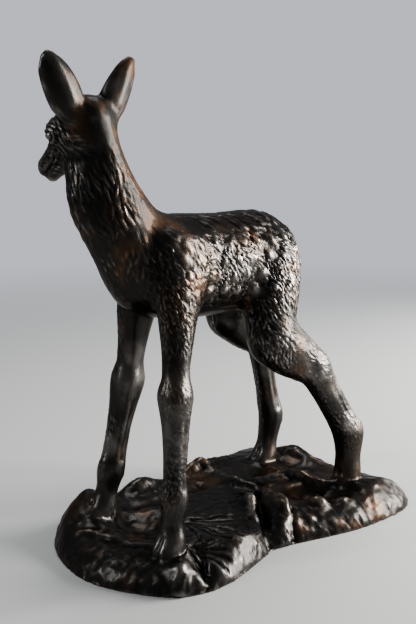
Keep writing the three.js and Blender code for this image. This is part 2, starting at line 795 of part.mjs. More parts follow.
function statue() {
  const body = join([[fawn(), 1], [mound(), 7]]);
  const cast = solid(thin(surface(body, SKULL.x), KEPT_TRIANGLES));
  const room = 5 * GRID_STEP;
  const below = block(
    body.lo.clone().subScalar(room), new THREE.Vector3(body.hi.x + room, body.hi.y + room, 0));
  const { numProp, vertProperties, triVerts } = cast.subtract(below).getMesh();
  const geometry = new THREE.BufferGeometry();
  geometry.setAttribute("position", new THREE.BufferAttribute(new Float32Array(vertProperties), numProp));
  geometry.setIndex([...triVerts]);
  return geometry;
}

const patinatedAluminium = new THREE.MeshStandardMaterial({
  color: 0x2b231d,
  roughness: 0.35,
  metalness: 0.9,
});
const figure = new THREE.Mesh(statue(), patinatedAluminium);
figure.name = "fawn_statue";

const part = new THREE.Group();
part.add(figure);

export default part;
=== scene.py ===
import itertools
import math

import bpy
import numpy as np
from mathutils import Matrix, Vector
from mathutils.kdtree import KDTree


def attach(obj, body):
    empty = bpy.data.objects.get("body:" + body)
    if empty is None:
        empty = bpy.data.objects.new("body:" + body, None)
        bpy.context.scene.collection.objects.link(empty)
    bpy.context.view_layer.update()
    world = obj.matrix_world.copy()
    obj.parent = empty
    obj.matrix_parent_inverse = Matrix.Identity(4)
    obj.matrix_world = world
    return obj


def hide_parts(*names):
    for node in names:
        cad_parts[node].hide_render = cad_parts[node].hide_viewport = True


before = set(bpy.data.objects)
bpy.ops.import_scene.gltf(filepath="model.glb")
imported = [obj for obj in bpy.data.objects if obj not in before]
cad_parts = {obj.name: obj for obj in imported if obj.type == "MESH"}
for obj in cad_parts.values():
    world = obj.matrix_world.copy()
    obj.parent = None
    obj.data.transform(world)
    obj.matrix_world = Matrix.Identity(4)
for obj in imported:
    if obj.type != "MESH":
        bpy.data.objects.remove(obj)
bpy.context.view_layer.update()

# The casting, in metres, in the part's own frame: the fawn faces -X, its left side is at -Y,
# and its head is turned to its right. Heights on the fawn are counted from its soles.
MM = 0.001
SOLE_HEIGHT = 33 * MM
RNG = np.random.default_rng(7)


def point(x, y, z):
    return np.array([x * MM, y * MM, z * MM + SOLE_HEIGHT])


# The joints, from the top of each leg to its sole and from the shoulders up the neck.
LEFT_FORELEG = [point(-108, -33, 345), point(-128, -46, 262), point(-146, -62, 176),
                point(-158, -72, 56), point(-168, -75, 0)]
RIGHT_FORELEG = [point(-104, 33, 345), point(-115, 43, 262), point(-123, 53, 172),
                 point(-147, 61, 54), point(-161, 64, 0)]
LEFT_HINDLEG = [point(59, -28, 318), point(25, -48, 219), point(97, -66, 167),
                point(164, -76, 64), point(158, -80, 0)]
RIGHT_HINDLEG = [point(62, 28, 318), point(42, 46, 232), point(118, 52, 178),
                 point(144, 52, 64), point(131, 52, 0)]
NECK = [point(-126, 0, 326), point(-182, 6, 388), point(-197, 21, 470)]

# The head's own frame: along the muzzle, to its left and up, from the middle of the skull.
SKULL = point(-202, 22, 486)
HEAD_DROP = math.radians(26)
MUZZLE = np.array([0, math.cos(HEAD_DROP), -math.sin(HEAD_DROP)])
LEFTWARDS = np.array([-1.0, 0, 0])
CROWN = np.cross(MUZZLE, LEFTWARDS)


# Smoothing: how far a round draws in and pushes out, and the rounds that level out fine relief.
DRAWN_IN = 0.55
PUSHED_OUT = 0.57
PROUD_ROUNDS = 9

# Noise: the primes and shifts that stir the numbers of its cells, and how many levels it has.
CELL_PRIMES = (73856093, 19349663, 83492791)
SEED_PRIME = 49979687
STIRRING = ((13, 60493), (11, 19990303))
LAST_SHIFT = 7
LOW_BITS = 0x7FFFFFFF
LEVELS = 65536

# Less than any length or share that counts, and more than any distance.
TINY = 1e-12
FAINT = 1e-9
FAR = 1e9


def mesh_points(mesh):
    flat = np.zeros(len(mesh.vertices) * 3, np.float32)
    mesh.vertices.foreach_get("co", flat)
    return flat.reshape(-1, 3).astype(float)


def mesh_normals(mesh):
    flat = np.zeros(len(mesh.vertices) * 3, np.float32)
    mesh.vertices.foreach_get("normal", flat)
    return flat.reshape(-1, 3).astype(float)


def set_points(mesh, points):
    mesh.vertices.foreach_set("co", points.astype(np.float32).ravel())
    mesh.update()


def mesh_edges(mesh):
    flat = np.zeros(len(mesh.edges) * 2, np.int32)
    mesh.edges.foreach_get("vertices", flat)
    return flat.reshape(-1, 2)


def with_modifier(mesh, kind, **settings):
    """A copy of the mesh as the modifier leaves it."""
    obj = bpy.data.objects.new("working", mesh)
    bpy.context.scene.collection.objects.link(obj)
    modifier = obj.modifiers.new(kind, kind)
    for name, value in settings.items():
        setattr(modifier, name, value)
    done = bpy.data.meshes.new_from_object(obj.evaluated_get(bpy.context.evaluated_depsgraph_get()))
    bpy.data.objects.remove(obj)
    return done


def neighbour_mean(values, edges, degree):
    """Each vertex's mean over its neighbours, for one number or several at each vertex."""
    a, b = edges.T
    columns = values.reshape(len(values), -1)
    means = np.empty_like(columns)
    for i, column in enumerate(columns.T):
        total = np.bincount(a, column[b], len(values)) + np.bincount(b, column[a], len(values))
        means[:, i] = total / degree
    return means.reshape(values.shape)


def smoothed(points, edges, rounds, held):
    """The surface without its facets, its volume kept. Held is 1 where a vertex stays.

    Each round draws every place in towards its neighbours and then pushes it out a little more.
    """
    degree = np.bincount(edges.ravel(), minlength=len(points)).astype(float)
    free = (1 - held)[:, None]
    for _ in range(rounds):
        for share in (DRAWN_IN, -PUSHED_OUT):
            points = points + free * share * (neighbour_mean(points, edges, degree) - points)
    return points


def noise(points, size, seed=0):
    """Smooth noise from -1 to 1 that changes over the given size."""
    cells = np.floor(points / size).astype(np.int64)
    part = points / size - cells
    part = part * part * (3 - 2 * part)
    total = np.zeros(len(points))
    for corner in itertools.product((0, 1), repeat=3):
        x, y, z = ((cells + corner) * CELL_PRIMES).T
        mixed = x ^ y ^ z ^ (seed * SEED_PRIME)
        for shift, prime in STIRRING:
            mixed = ((mixed ^ (mixed >> shift)) * prime) & LOW_BITS
        weight = np.prod(np.where(corner, part, 1 - part), axis=1)
        total += weight * ((mixed >> LAST_SHIFT) % LEVELS / ((LEVELS - 1) / 2) - 1)
    return total


def standing_proud(points, normals, edges):
    """How far each place stands out of the surface a few millimetres around it."""
    degree = np.bincount(edges.ravel(), minlength=len(points)).astype(float)
    mean = points
    for _ in range(PROUD_ROUNDS):
        mean = neighbour_mean(mean, edges, degree)
    return np.sum((points - mean) * normals, axis=1)


def keep_number(mesh, name, values):
    mesh.attributes.new(name, "FLOAT", "POINT").data.foreach_set("value", values.astype(np.float32))


def smoothstep(lo, hi, value):
    t = np.clip((value - lo) / (hi - lo), 0, 1)
    return t * t * (3 - 2 * t)


def unit(vectors):
    return vectors / np.maximum(np.linalg.norm(vectors, axis=-1, keepdims=True), TINY)


def segment_distance(points, a, b):
    along = b - a
    t = np.clip((points - a) @ along / (along @ along), 0, 1)
    return np.linalg.norm(points - a - t[:, None] * along, axis=1)


# The grid on which the solid is surfaced anew, and the triangles that the casting ends with.
VOXEL = 1.5 * MM
TRIANGLES = 190000
ALL_LEGS = (LEFT_FORELEG, RIGHT_FORELEG, LEFT_HINDLEG, RIGHT_HINDLEG)

# How the fur lies: a stretch of the body, how near it a place must be to count, the way the fur
# flows there, and the tufts' length, width and rise. Nearness and tufts are in mm.
FUR = [
    (point(-110, 0, 366), point(60, 0, 366), 30, [0.75, 0, -0.65], (30, 9, 1.3)),
    (point(-95, -50, 305), point(30, -50, 300), 34, [0.7, 0, -0.9], (11, 3.2, 1.9)),
    (point(-95, 50, 305), point(30, 50, 300), 34, [0.7, 0, -0.9], (11, 3.2, 1.9)),
    (point(-120, -45, 330), point(-125, -45, 270), 30, [0.45, 0, -1], (10, 3.0, 1.2)),
    (point(-120, 45, 330), point(-125, 45, 270), 30, [0.45, 0, -1], (10, 3.0, 1.2)),
    (point(85, 0, 330), point(105, 0, 270), 28, [0.5, 0, -1], (12, 3.4, 1.3)),
    (point(-175, 0, 345), point(-160, 0, 285), 34, [0.4, 0, -1], (14, 5.5, 0.7)),
    (NECK[2], NECK[1], 34, NECK[1] - NECK[2], (36, 5.6, 1.7)),
    (NECK[1], NECK[0], 38, NECK[0] - NECK[1], (38, 6.0, 1.8)),
    (SKULL - 14 * MM * CROWN, SKULL + 30 * MM * MUZZLE, 28, -MUZZLE, (7, 4.4, 1.7)),
    (SKULL + 45 * MM * MUZZLE, SKULL + 92 * MM * MUZZLE, 18, -MUZZLE, (6, 2.6, 0.5)),
]
for hip, stifle, hock, fetlock, sole in (LEFT_HINDLEG, RIGHT_HINDLEG):
    FUR += [
        (hip, stifle, 34, [0.45, 0, -1], (17, 3.9, 1.5)),
        (stifle, hock, 28, hock - stifle, (17, 3.6, 1.1)),
        (hock, fetlock, 22, [0.8, 0, -0.7], (12, 3.0, 0.85)),
        (fetlock, sole, 20, sole - fetlock, (7, 2.4, 0.5)),
    ]
for shoulder, elbow, knee, fetlock, sole in (LEFT_FORELEG, RIGHT_FORELEG):
    FUR += [
        (elbow, knee, 24, [0.35, 0, -1], (15, 3.2, 1.0)),
        (knee, fetlock, 20, [0.6, 0, -0.8], (11, 3.0, 0.95)),
        (fetlock, sole, 18, sole - fetlock, (6, 2.2, 0.5)),
    ]
SWIRL_TURN = 0.5
SWIRL_SIZE = 26 * MM


def fur_at(points, normals):
    """The flow of the fur over the surface, and its tufts' length, width and rise, at each place."""
    total = np.zeros(len(points))
    flow = np.zeros((len(points), 3))
    tufts = np.zeros((len(points), 3))
    for a, b, reach, way, size in FUR:
        near = np.exp(-(segment_distance(points, a, b) / (reach * MM)) ** 2 * 2) + FAINT
        total += near
        flow += near[:, None] * unit(np.array(way, float))
        tufts += near[:, None] * np.array(size) * MM
    tufts /= total[:, None]
    swirl = SWIRL_TURN * noise(points, SWIRL_SIZE, 1)
    flow = flow - normals * np.sum(flow * normals, axis=1, keepdims=True)
    flow = unit(flow)
    aside = np.cross(normals, flow)
    flow = flow * np.cos(swirl)[:, None] + aside * np.sin(swirl)[:, None]
    return flow, tufts


def head_place(points):
    """Points in the head's own frame: along the muzzle, to the left and up, in mm."""
    away = (points - SKULL) / MM
    return away @ MUZZLE, away @ LEFTWARDS, away @ CROWN


# The nape: the way it faces, then pairs between which it fades in or out: how squarely a place
# faces that way, its height above the soles, its X, and how far it is onto the face, in mm.
NAPE_WAY = np.array([0.8, -0.32, 0.5])
NAPE_FACING = (0.1, 0.65)
NAPE_FOOT = (330, 360)
NAPE_END = (-128, -96)
FACE_AHEAD = (-12, 6)
FACE_ABOVE = (-60, -40)


def at_nape(points, normals):
    """1 on the back of the neck and beside it, 0 elsewhere."""
    rearward = smoothstep(*NAPE_FACING, normals @ NAPE_WAY)
    x, above = points[:, 0] / MM, (points[:, 2] - SOLE_HEIGHT) / MM
    ahead, _, up = head_place(points)
    face = smoothstep(*FACE_AHEAD, ahead) * smoothstep(*FACE_ABOVE, up)
    return rearward * (1 - smoothstep(*NAPE_END, x)) * smoothstep(*NAPE_FOOT, above) * (1 - face)


# Bare skin, as pairs between which it fades in or out: the belly and the inner sides of the legs
# by their facing and their place in mm, and the head's back, crown and nose in the head's frame.
BELLY_FACING = (0.45, 0.8)
BELLY_FOOT = (180, 215)
INNER_FACING = (0.15, 0.6)
INNER_ASIDE = (12, 24)
INNER_TOP = (250, 290)
INNER_FOOT = (-2, 12)
INNER_SHARE = 0.85
BACK_AHEAD = (-24, 0)
BACK_ABOVE = (-62, -14)
CROWN_AHEAD = (-6, 16)
CROWN_ABOVE = (2, 14)
NOSE_AHEAD = (84, 92)
NAPE_SHARE = 0.6


def smooth_places(points, normals):
    """Where the casting is smooth: 1 on bare skin, 0 in full fur."""
    x, y, z = points.T / MM
    z = z - SOLE_HEIGHT / MM
    belly = smoothstep(*BELLY_FACING, -normals[:, 2]) * smoothstep(*BELLY_FOOT, z)
    inner = smoothstep(*INNER_FACING, -np.sign(y) * normals[:, 1]) * smoothstep(*INNER_ASIDE, np.abs(y))
    inner = inner * (1 - smoothstep(*INNER_TOP, z)) * smoothstep(*INNER_FOOT, z)
    ahead, _, up = head_place(points)
    back = (1 - smoothstep(*BACK_AHEAD, ahead)) * smoothstep(*BACK_ABOVE, up)
    back = np.maximum(back, (1 - smoothstep(*CROWN_AHEAD, ahead)) * smoothstep(*CROWN_ABOVE, up))
    nose = smoothstep(*NOSE_AHEAD, ahead) * smoothstep(*FACE_ABOVE, up)
    bare = belly + INNER_SHARE * inner + back + nose + NAPE_SHARE * at_nape(points, normals)
    return np.clip(bare, 0, 1)


# The tufts. Their cells are counted from this many aside, so that no number is negative, and across
# more than there are, so that none is given twice. Then the cells' sizes and their share of a tuft,
# how much the tufts vary, how many can lie over a place, how they narrow and peak towards the tip,
# and how far above or below its root a tuft still counts.
CELLS_ASIDE = 1000
CELLS_ACROSS = 4001
CELL_SIZES = np.array([2.4, 3.2, 4.2, 5.6, 7.6]) * MM
CELL_SHARE = 0.72
TUFT_TURN = 0.22
TUFT_LENGTHS = (0.75, 1.3)
TUFT_WIDTHS = (0.8, 1.25)
TUFT_RISES = (0.6, 1.15)
ROOTED_FROM = 0.04
FURRED_FROM = 0.02
TUFTS_NEAR = 8
TIP_NARROWING = 0.55
PEAK_LATENESS = 1.5
TUFT_THICKNESS = 4 * MM


def scattered(points, spacing, chosen):
    """One of the chosen vertices for each cell of that size, at random, as vertex numbers."""
    picks = RNG.permutation(np.flatnonzero(chosen))
    cells = np.floor(points[picks] / spacing + CELLS_ASIDE).astype(np.int64)
    keys = (cells[:, 0] * CELLS_ACROSS + cells[:, 1]) * CELLS_ACROSS + cells[:, 2]
    return picks[np.unique(keys, return_index=True)[1]]


def tuft_relief(points, normals, flow, tufts, amount):
    """The height of overlapping tufts, each rising along the flow to a pointed end."""
    spacing = np.sqrt(tufts[:, 0] * tufts[:, 1]) * CELL_SHARE
    grade = np.argmin(np.abs(np.log(spacing[:, None] / CELL_SIZES)), axis=1)
    centres = np.concatenate([
        scattered(points, size, (grade == i) & (amount > ROOTED_FROM))
        for i, size in enumerate(CELL_SIZES)])
    tree = KDTree(len(centres))
    for i, v in enumerate(centres):
        tree.insert(points[v], i)
    tree.balance()
    turn = RNG.normal(0, TUFT_TURN, len(centres))
    aside = np.cross(normals[centres], flow[centres])
    along = flow[centres] * np.cos(turn)[:, None] + aside * np.sin(turn)[:, None]
    across = np.cross(normals[centres], along)
    length = tufts[centres, 0] * RNG.uniform(*TUFT_LENGTHS, len(centres))
    width = tufts[centres, 1] * RNG.uniform(*TUFT_WIDTHS, len(centres))
    rise = tufts[centres, 2] * RNG.uniform(*TUFT_RISES, len(centres))
    wanted = np.flatnonzero(amount > FURRED_FROM)
    near = np.zeros((len(wanted), TUFTS_NEAR), int)
    for row, v in enumerate(wanted):
        near[row] = [found[1] for found in tree.find_n(points[v], TUFTS_NEAR)]
    height = np.zeros(len(points))
    for c in near.T:
        offset = points[wanted] - points[centres[c]]
        u = np.sum(offset * along[c], axis=1) / length[c] + 0.5
        v = np.sum(offset * across[c], axis=1) / width[c] * 2
        off = np.abs(np.sum(offset * normals[centres[c]], axis=1))
        body = np.clip(u, 0, 1)
        narrow = 1 - TIP_NARROWING * body ** 2
        shape = np.sin(np.pi * body ** PEAK_LATENESS) * np.clip(1 - (v / narrow) ** 2, 0, 1)
        shape = np.where((u > 0) & (u < 1) & (off < TUFT_THICKNESS), shape, 0)
        height[wanted] = np.maximum(height[wanted], shape * rise[c])
    return height * amount


# The rows of spots, which the solids have from the ribs on, here from the shoulder to the rump.
# A spot is an oval with a ragged rim, longer along its lean, and a groove runs around it.
SPOT_RADIUS = 6
SPOT_SHARE = 0.8
SPOT_PITCH = 25
ROW_PITCH = 19.5
ROW_SAG = 6
SPOT_ROWS = 4
SPOTS_FROM = point(-128, 0, 290)
SPOTS_LENGTH = 190
SPOTS_BELOW = 20
SPOT_STRAY = 5
SPOT_SIZES = (0.65, 1.15)
SPOT_LEAN = (0.6, 0.8)
SPOT_LENGTHENING = 1.4
SPOT_RAGGED = 0.35
RAGGED_SIZE = 5 * MM
GROOVE_AT = 1.5
GROOVE_WIDTH = 0.4


def spot_relief(points):
    """The spots: from 1 in a spot's middle to 0 outside, and the groove around each, from 0 to 1."""
    inside = np.zeros(len(points))
    groove = np.zeros(len(points))
    for row, side in itertools.product(range(SPOT_ROWS), (-1, 1)):
        along = (row % 2) / 2
        while along * SPOT_PITCH < SPOTS_LENGTH:
            sag = ROW_SAG * math.sin(along * SPOT_PITCH * math.pi / SPOTS_LENGTH)
            stray = RNG.uniform(-SPOT_STRAY, SPOT_STRAY, 2)
            x = SPOTS_FROM[0] + (along * SPOT_PITCH + stray[0]) * MM
            z = SPOTS_FROM[2] + (row * ROW_PITCH - sag + stray[1]) * MM
            dx = points[:, 0] - x
            dz = points[:, 2] - z
            lengthwise = dx * SPOT_LEAN[0] - dz * SPOT_LEAN[1]
            crosswise = dx * SPOT_LEAN[1] + dz * SPOT_LEAN[0]
            radius = SPOT_RADIUS * MM * RNG.uniform(*SPOT_SIZES)
            off = np.hypot(lengthwise / SPOT_LENGTHENING, crosswise) / radius
            off = off + SPOT_RAGGED * noise(points, RAGGED_SIZE, 41)
            here = (side * points[:, 1] > 0) * (RNG.random() < SPOT_SHARE)
            inside = np.maximum(inside, np.exp(-off ** 2) * here)
            groove = np.maximum(groove, np.exp(-((off - GROOVE_AT) / GROOVE_WIDTH) ** 2) * here)
            along += 1
    at_flank = points[:, 2] > SPOTS_FROM[2] - SPOTS_BELOW * MM
    return inside * at_flank, groove * at_flank


# The slanting grooves of the back: the way across them, their pitch and width in mm, and pairs
# between which they fade in or out, by height above the soles, X and distance from the spine.
SLANT_ACROSS = (0.62, 0.78)
SLANT_PITCH = 15
SLANT_WIDTH = 1.9
SLANT_BEND = 0.3
SLANT_BEND_SIZE = 34 * MM
SLANT_FOOT = (334, 350)
SLANT_START = (-88, -66)
SLANT_END = (92, 112)
SLANT_ASIDE = (5, 14)
SLANT_BREAKS = (-0.5, 0.1)
SLANT_BREAK_SIZE = 22 * MM


def back_grooves(points):
    """The slanting grooves on either side of the spine, from 0 to 1."""
    x, y, z = points.T / MM
    z = z - SOLE_HEIGHT / MM
    across = (SLANT_ACROSS[0] * x + SLANT_ACROSS[1] * z) / SLANT_PITCH
    across += SLANT_BEND * noise(points, SLANT_BEND_SIZE, 31)
    off = np.abs(across - np.round(across)) * SLANT_PITCH
    at_back = smoothstep(*SLANT_FOOT, z) * smoothstep(*SLANT_START, x) * (1 - smoothstep(*SLANT_END, x))
    at_back *= smoothstep(*SLANT_ASIDE, np.abs(y))
    at_back *= smoothstep(*SLANT_BREAKS, noise(points, SLANT_BREAK_SIZE, 32))
    return np.exp(-(off / SLANT_WIDTH) ** 2) * at_back


# The rocks' own forms, as lines over the ground in mm, each with its half width and its rise.
RIDGES = [
    ([(-212, 44), (-198, 27), (-190, 6), (-184, -20), (-170, -52)], 5, 3.5),  # lip of the basin
    ([(42, 107), (48, 68), (40, 25), (62, 12), (90, 2), (118, -10), (124, -50), (139, -83)], 8, 4.5),
    ([(39, -40), (21, -68), (-4, -104), (-30, -142)], 11, 4.5),  # tongue down the near side
    ([(19, -18), (0, -46), (-28, -72)], 7, 5),
    ([(-150, -80), (-176, -103), (-204, -128)], 9, 5),  # buttress below the left fore hoof
    ([(62, -100), (66, -108)], 8, 4),
    ([(36, -104), (34, -116)], 7, 3.5),
    ([(92, -96), (120, -84), (146, -100)], 7, 3.5),
    ([(150, 84), (196, 84), (208, 66)], 8, 4),
    ([(202, 34), (206, 10)], 9, 4),
    ([(-50, 118), (-38, 112)], 9, 4),
    ([(22, 96), (36, 104)], 8, 3.5),
]
GULLIES = [
    ([(31, -26), (0, -64), (-40, -112)], 5, -5),
    ([(56, -46), (34, -82), (2, -120)], 4, -3.5),
    ([(-130, -84), (-150, -112), (-168, -138)], 6, -5),
    ([(-150, 40), (-120, 10), (-140, -24)], 20, -4),  # basin between the fore hooves
    ([(80, -42), (104, -66), (128, -88)], 10, -5),  # recess before the left hind hoof
    ([(-120, 60), (-60, 52), (0, 50)], 9, -3),
]
LEAF_WIDTH = 3.0
LEAF_DEPTH = -1.5
LEAF_STRAY = 6
LEAF_BENDS = (0.0, 0.3)
LEAF_REACHES = (0.6, 1.05)
LEAF_STATIONS = (0.15, 0.4, 0.7, 1.0)


def fan(centre, first, last, count, length):
    """Leaf grooves that fan out from a place: centre in mm, angles in degrees."""
    leaves = []
    stray = RNG.uniform(-LEAF_STRAY, LEAF_STRAY, count)
    for angle in np.radians(np.linspace(first, last, count) + stray):
        way = np.array([math.cos(angle), math.sin(angle)])
        bend = np.array([-way[1], way[0]]) * RNG.uniform(*LEAF_BENDS)
        reach = length * RNG.uniform(*LEAF_REACHES)
        line = [tuple(np.array(centre) + reach * (way * t + bend * t * t)) for t in LEAF_STATIONS]
        leaves.append((line, LEAF_WIDTH, LEAF_DEPTH))
    return leaves


LEAVES = (
    fan(centre=(-146, -80), first=8, last=-120, count=8, length=50)
    + fan(centre=(-92, -14), first=-34, last=-112, count=8, length=92))


def line_distance(places, line):
    """How far places on the ground lie from a line through points, in mm."""
    nearest = np.full(len(places), FAR)
    for a, b in zip(line, line[1:]):
        a, b = np.array(a, float), np.array(b, float)
        along = b - a
        t = np.clip((places - a) @ along / (along @ along), 0, 1)
        nearest = np.minimum(nearest, np.linalg.norm(places - a - t[:, None] * along, axis=1))
    return nearest


# The rocks' roughness, its rises in mm: how far the lines are bent, the strokes that run up the wall
# around its middle, whose run is shortened to this share so that they come out long, and the lumps,
# creases and grain on all of it.
LINE_BEND = 3.5
LINE_BEND_SIZE = 18 * MM
WALL_MIDDLE = -8 * MM
WALL_RADIUS = 160 * MM
STROKE_STRETCH = 0.25
WIDE_STROKE, WIDE_STROKE_SIZE = 0.5, 9 * MM
FINE_STROKE, FINE_STROKE_SIZE = 1.3, 4 * MM
STROKES_FLAT, STROKES_UPRIGHT = 0.2, 0.9
LUMP, LUMP_SIZE = 0.7, 16 * MM
SMALL_LUMP, SMALL_LUMP_SIZE = 0.7, 7 * MM
CREASE, CREASE_SIZE = 0.7, 11 * MM
GRAIN, GRAIN_SIZE = 0.15, 3.5 * MM
FORMS_LOST_ON_WALL = 0.5


def rock_relief(points, normals):
    """The rocks' ridges, gullies, leaves and strokes."""
    upright = 1 - np.abs(normals[:, 2])
    places = points[:, :2] / MM
    bend = np.stack([noise(points, LINE_BEND_SIZE, 21), noise(points, LINE_BEND_SIZE, 22)], axis=1)
    bent = places + LINE_BEND * bend
    forms = np.zeros(len(points))
    for line, width, rise in RIDGES + GULLIES:
        forms += rise * np.exp(-(line_distance(bent, line) / width) ** 2)
    for line, width, rise in LEAVES:
        forms += rise * np.clip(1 - (line_distance(bent, line) / width) ** 2, 0, 1)
    x, y = points[:, 0] - WALL_MIDDLE, points[:, 1] - WALL_MIDDLE
    round_the_wall = np.stack([
        np.arctan2(y, x) * WALL_RADIUS,
        np.hypot(y, x) * STROKE_STRETCH,
        points[:, 2] * STROKE_STRETCH], axis=1)
    strokes = WIDE_STROKE * noise(round_the_wall, WIDE_STROKE_SIZE, 11)
    strokes -= FINE_STROKE * np.abs(noise(round_the_wall, FINE_STROKE_SIZE, 12))
    lumps = noise(points, LUMP_SIZE, 13) + SMALL_LUMP * noise(points, SMALL_LUMP_SIZE, 14)
    creases = 1 - 2 * np.abs(noise(points, CREASE_SIZE, 15))
    rough = (STROKES_FLAT + STROKES_UPRIGHT * upright) * strokes
    rough += LUMP * lumps + CREASE * creases * (1 - upright) + GRAIN * noise(points, GRAIN_SIZE, 16)
    return (forms * (1 - FORMS_LOST_ON_WALL * upright) + rough) * MM


# The face in the head's own frame, in mm: ahead, to either side and up. A rise is followed by the
# radius or half width that it has, and the lids and the gap within them by their distance too.
EYE = (34, -1)
EYE_SLANT = math.radians(-20)
EYE_LENGTHENING = 1.35
EYE_ASIDE = 14
EYEBALL_RISE, EYEBALL_RADIUS = 1.5, 4.6
LID_RISE, LID_WIDTH, LID_AT = 1.5, 1.3, 6.9
LID_GAP_DEPTH, LID_GAP_WIDTH, LID_GAP_AT = 0.9, 0.8, 5.0
NOSTRIL = (91, -9)
NOSTRIL_LENGTHENING = 1.5
NOSTRIL_ASIDE = 3.5
NOSTRIL_DEPTH, NOSTRIL_RADIUS = 2.4, 2.0
MOUTH = [(97, 2, -19), (88, 8, -21), (74, 11, -21.5), (62, 14, -20), (55, 15, -17)]
MOUTH_DEPTH, MOUTH_WIDTH = 1.8, 1.5
EAR_KEEL = [(-26, 32, 10), (-34, 41, 28), (-43, 50, 44), (-44, 55, 54)]
KEEL_RISE, KEEL_WIDTH = 1.5, 7
HEAD_BOX = ((-60, 120), (-75, 75), (-90, 90))


def head_line(points, line, side):
    """How far places lie from a line that is given in the head's own frame, on one side, in mm."""
    nearest = np.full(len(points), FAR)
    ends = [SKULL + MM * (a * MUZZLE + side * b * LEFTWARDS + c * CROWN) for a, b, c in line]
    for a, b in zip(ends, ends[1:]):
        nearest = np.minimum(nearest, segment_distance(points, a, b) / MM)
    return nearest


def face_relief(points):
    """The eyes with their lids, the nostrils, the mouth and the ears' keels."""
    places = head_place(points)
    at_head = np.ones(len(points), bool)
    for along, (lo, hi) in zip(places, HEAD_BOX):
        at_head &= (along > lo) & (along < hi)
    ahead, left, up = places
    cos, sin = math.cos(EYE_SLANT), math.sin(EYE_SLANT)
    u = (ahead - EYE[0]) * cos - (up - EYE[1]) * sin
    v = (ahead - EYE[0]) * sin + (up - EYE[1]) * cos
    off = np.hypot(u / EYE_LENGTHENING, v)
    eye = EYEBALL_RISE * np.sqrt(np.clip(1 - (off / EYEBALL_RADIUS) ** 2, 0, 1))
    eye += LID_RISE * np.exp(-((off - LID_AT) / LID_WIDTH) ** 2)
    eye -= LID_GAP_DEPTH * np.exp(-((off - LID_GAP_AT) / LID_GAP_WIDTH) ** 2)
    dent = np.hypot((ahead - NOSTRIL[0]) / NOSTRIL_LENGTHENING, up - NOSTRIL[1])
    nostril = NOSTRIL_DEPTH * np.exp(-(dent / NOSTRIL_RADIUS) ** 4)
    height = np.zeros(len(points))
    for side in (-1, 1):
        height += eye * (side * left > EYE_ASIDE) - nostril * (side * left > NOSTRIL_ASIDE)
        height -= MOUTH_DEPTH * np.exp(-(head_line(points, MOUTH, side) / MOUTH_WIDTH) ** 2)
        height += KEEL_RISE * np.exp(-(head_line(points, EAR_KEEL, side) / KEEL_WIDTH) ** 4)
    return height * at_head * MM


# The carving of each leg, in mm: where a stroke starts, how it runs on, its half width and its rise.
# The tendon groove runs between two shares of the cannon bone and the claw starts at the fetlock, the
# knob and the dip at the knee or hock and the cleft at the sole. Tendon, claw and knob are on both
# sides.
TENDON_ASIDE = (3, 15)
TENDON_FROM, TENDON_TO = 0.22, 0.86
TENDON_WIDTH, TENDON_RISE = 3.2, -1.7
CLAW, CLAW_RUN, CLAW_WIDTH, CLAW_RISE = (17, 7, -9), (0, 0, -5), 4, 2.6
KNOB, KNOB_RUN, KNOB_WIDTH, KNOB_RISE = (-6, 12, 6), (0, 0, -8), 9, 2.4
DIP, DIP_RUN, DIP_WIDTH, DIP_RISE = (-22, 0, 9), (2, 0, -21), 5, -1.2
CLEFT, CLEFT_RUN, CLEFT_WIDTH, CLEFT_RISE = (-22, 0, 3), (9, 0, 15), 2.6, -2.6


def leg_relief(points):
    """The tendons beside the cannon bones, the joints' knobs, the dewclaws and the cloven hooves."""
    height = np.zeros(len(points))
    for leg in ALL_LEGS:
        joint, fetlock, sole = leg[-3:]
        cannon = fetlock - joint
        strokes = [(joint, DIP, DIP_RUN, DIP_WIDTH, DIP_RISE),
                   (sole, CLEFT, CLEFT_RUN, CLEFT_WIDTH, CLEFT_RISE)]
        for side in (-1, 1):
            tendon = (TENDON_ASIDE[0], side * TENDON_ASIDE[1], 0)
            run = cannon * (TENDON_TO - TENDON_FROM) / MM
            claw = (CLAW[0], side * CLAW[1], CLAW[2])
            knob = (KNOB[0], side * KNOB[1], KNOB[2])
            strokes += [
                (joint + cannon * TENDON_FROM, tendon, run, TENDON_WIDTH, TENDON_RISE),
                (fetlock, claw, CLAW_RUN, CLAW_WIDTH, CLAW_RISE),
                (joint, knob, KNOB_RUN, KNOB_WIDTH, KNOB_RISE),
            ]
        for place, offset, run, width, rise in strokes:
            start = place + np.array(offset) * MM
            away = segment_distance(points, start, start + np.array(run) * MM)
            height += rise * np.exp(-(away / (width * MM)) ** 2)
    return height * MM


# The smoothing of the solid's surface, and where its legs end above and below, in metres. Rounding
# thins the legs by about as much as is then given back.
SMOOTH_ROUNDS = 30
ROUNDING_ROUNDS = 60
ROUNDING_SHARE = 0.55
ROUNDING_GIVEN_BACK = 1.0 * MM
GROUND_EDGE = (0, 3 * MM)
LEG_FOOT = (2 * MM, 10 * MM)
LEG_TOP = (0.2, 0.24)


